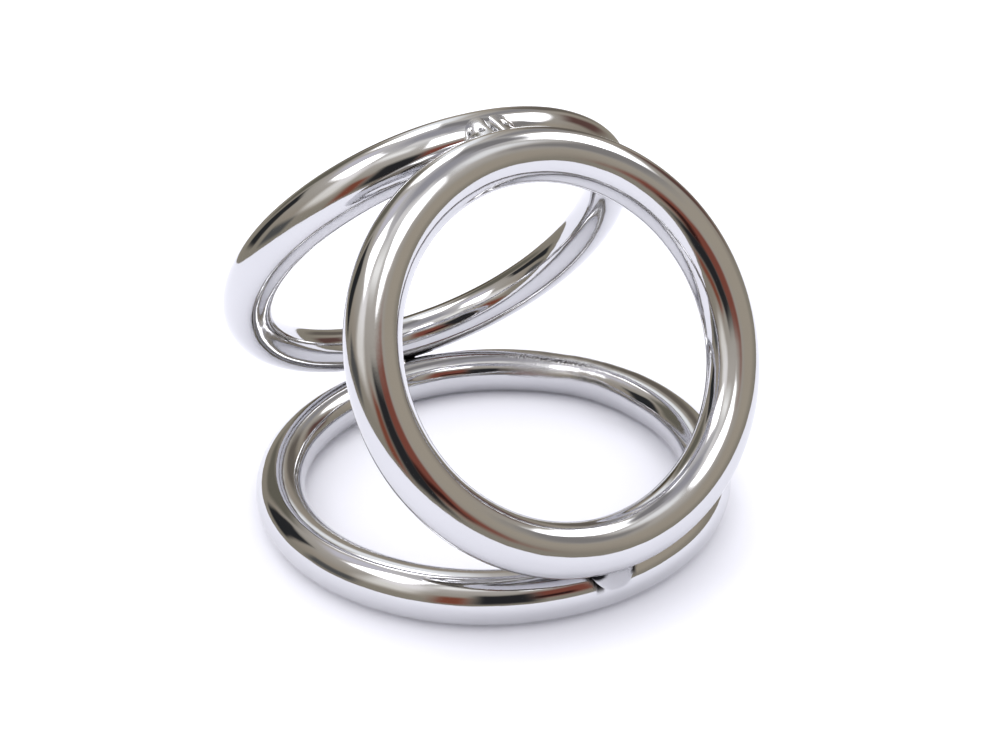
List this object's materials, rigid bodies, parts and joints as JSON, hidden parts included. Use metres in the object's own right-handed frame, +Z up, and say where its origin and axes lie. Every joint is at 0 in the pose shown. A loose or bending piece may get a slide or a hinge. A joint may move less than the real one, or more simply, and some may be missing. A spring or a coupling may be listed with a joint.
{
  "type": "welded triple metal ring",
  "caption": "Rings of polished round bar welded edge to edge in a rigid triangular cluster; one lies flat and the others lean together above it, each open for what it is worn on.",
  "frame": {"origin": "centre of the bottom ring, on the surface that the object rests on", "axes": "+X from the back ring's foot towards the front ring's foot, which is the object's longest direction; +Z up, through the bottom ring's opening"},
  "size_m": [0.0685, 0.0628, 0.0518],
  "materials": {
    "polished_bar": "mirror-polished bright metal",
    "ground_seam": "weld ground flush and polished, with faint grinding waves",
    "weld_bead": "polished weld metal, softly rippled"
  },
  "bodies": {
    "root": {"bottom_ring": "polished_bar", "front_ring": "polished_bar", "back_ring": "polished_bar", "bottom_ring_seam": "ground_seam", "front_ring_seam": "ground_seam", "back_ring_seam": "ground_seam", "front_foot_outer_bead": "weld_bead", "front_foot_inner_bead": "weld_bead", "back_foot_outer_bead": "weld_bead", "back_foot_inner_bead": "weld_bead", "top_outer_bead": "weld_bead", "top_inner_bead": "weld_bead"}
  },
  "joints": []
}
